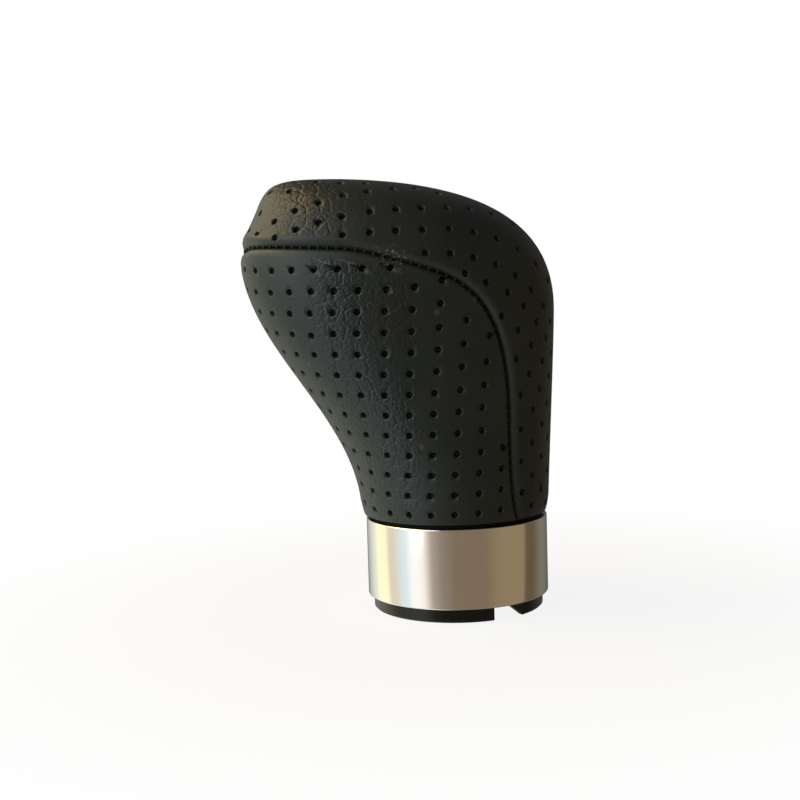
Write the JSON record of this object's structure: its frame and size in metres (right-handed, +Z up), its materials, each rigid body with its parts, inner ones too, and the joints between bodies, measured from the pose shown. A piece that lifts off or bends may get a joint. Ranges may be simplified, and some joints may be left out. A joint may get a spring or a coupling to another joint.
{
  "type": "gear shift knob",
  "caption": "Pistol-grip gear shift knob wrapped in perforated leather, with a satin metal collar and a twist-lock sleeve at its foot.",
  "frame": {"origin": "on the lever axis at the mouth of the lever socket, level with the foot of the lock sleeve", "axes": "+Z up along the lever axis, the nose of the grip towards -X, +Y across the grip to the left of someone looking along the nose"},
  "size_m": [0.0681, 0.044, 0.0941],
  "materials": {
    "top_leather": "black grained leather with rows of small perforations",
    "side_leather": "black grained leather with rows of small perforations",
    "thread": "black waxed thread",
    "core_plastic": "moulded, fine eroded texture",
    "steel_small_parts": "zinc plated",
    "black_plastic": "moulded, semi-matt",
    "socket_steel": "drawn tube, bright",
    "damper_rubber": "matt",
    "satin_metal": "satin, bead blasted",
    "sleeve_plastic": "moulded, half gloss"
  },
  "bodies": {
    "grip": {"top_leather_panel": "top_leather", "side_leather_panel": "side_leather", "seam_thread": "thread", "core_left_half": "core_plastic", "core_right_half": "core_plastic", "core_screws": "steel_small_parts", "neck_bushing": "black_plastic", "lever_socket": "socket_steel", "lock_clip": "steel_small_parts", "lever_damper": "damper_rubber", "trim_ring": "black_plastic", "collar_ring": "satin_metal", "circlip": "steel_small_parts"},
    "sleeve": {"lock_sleeve": "sleeve_plastic"}
  },
  "joints": [
    {"name": "sleeve_turn", "type": "hinge", "parent": "grip", "child": "sleeve", "pos_m": [0, 0, 0], "axis": [0, 0, 1], "range_deg": [0, 90]}
  ]
}
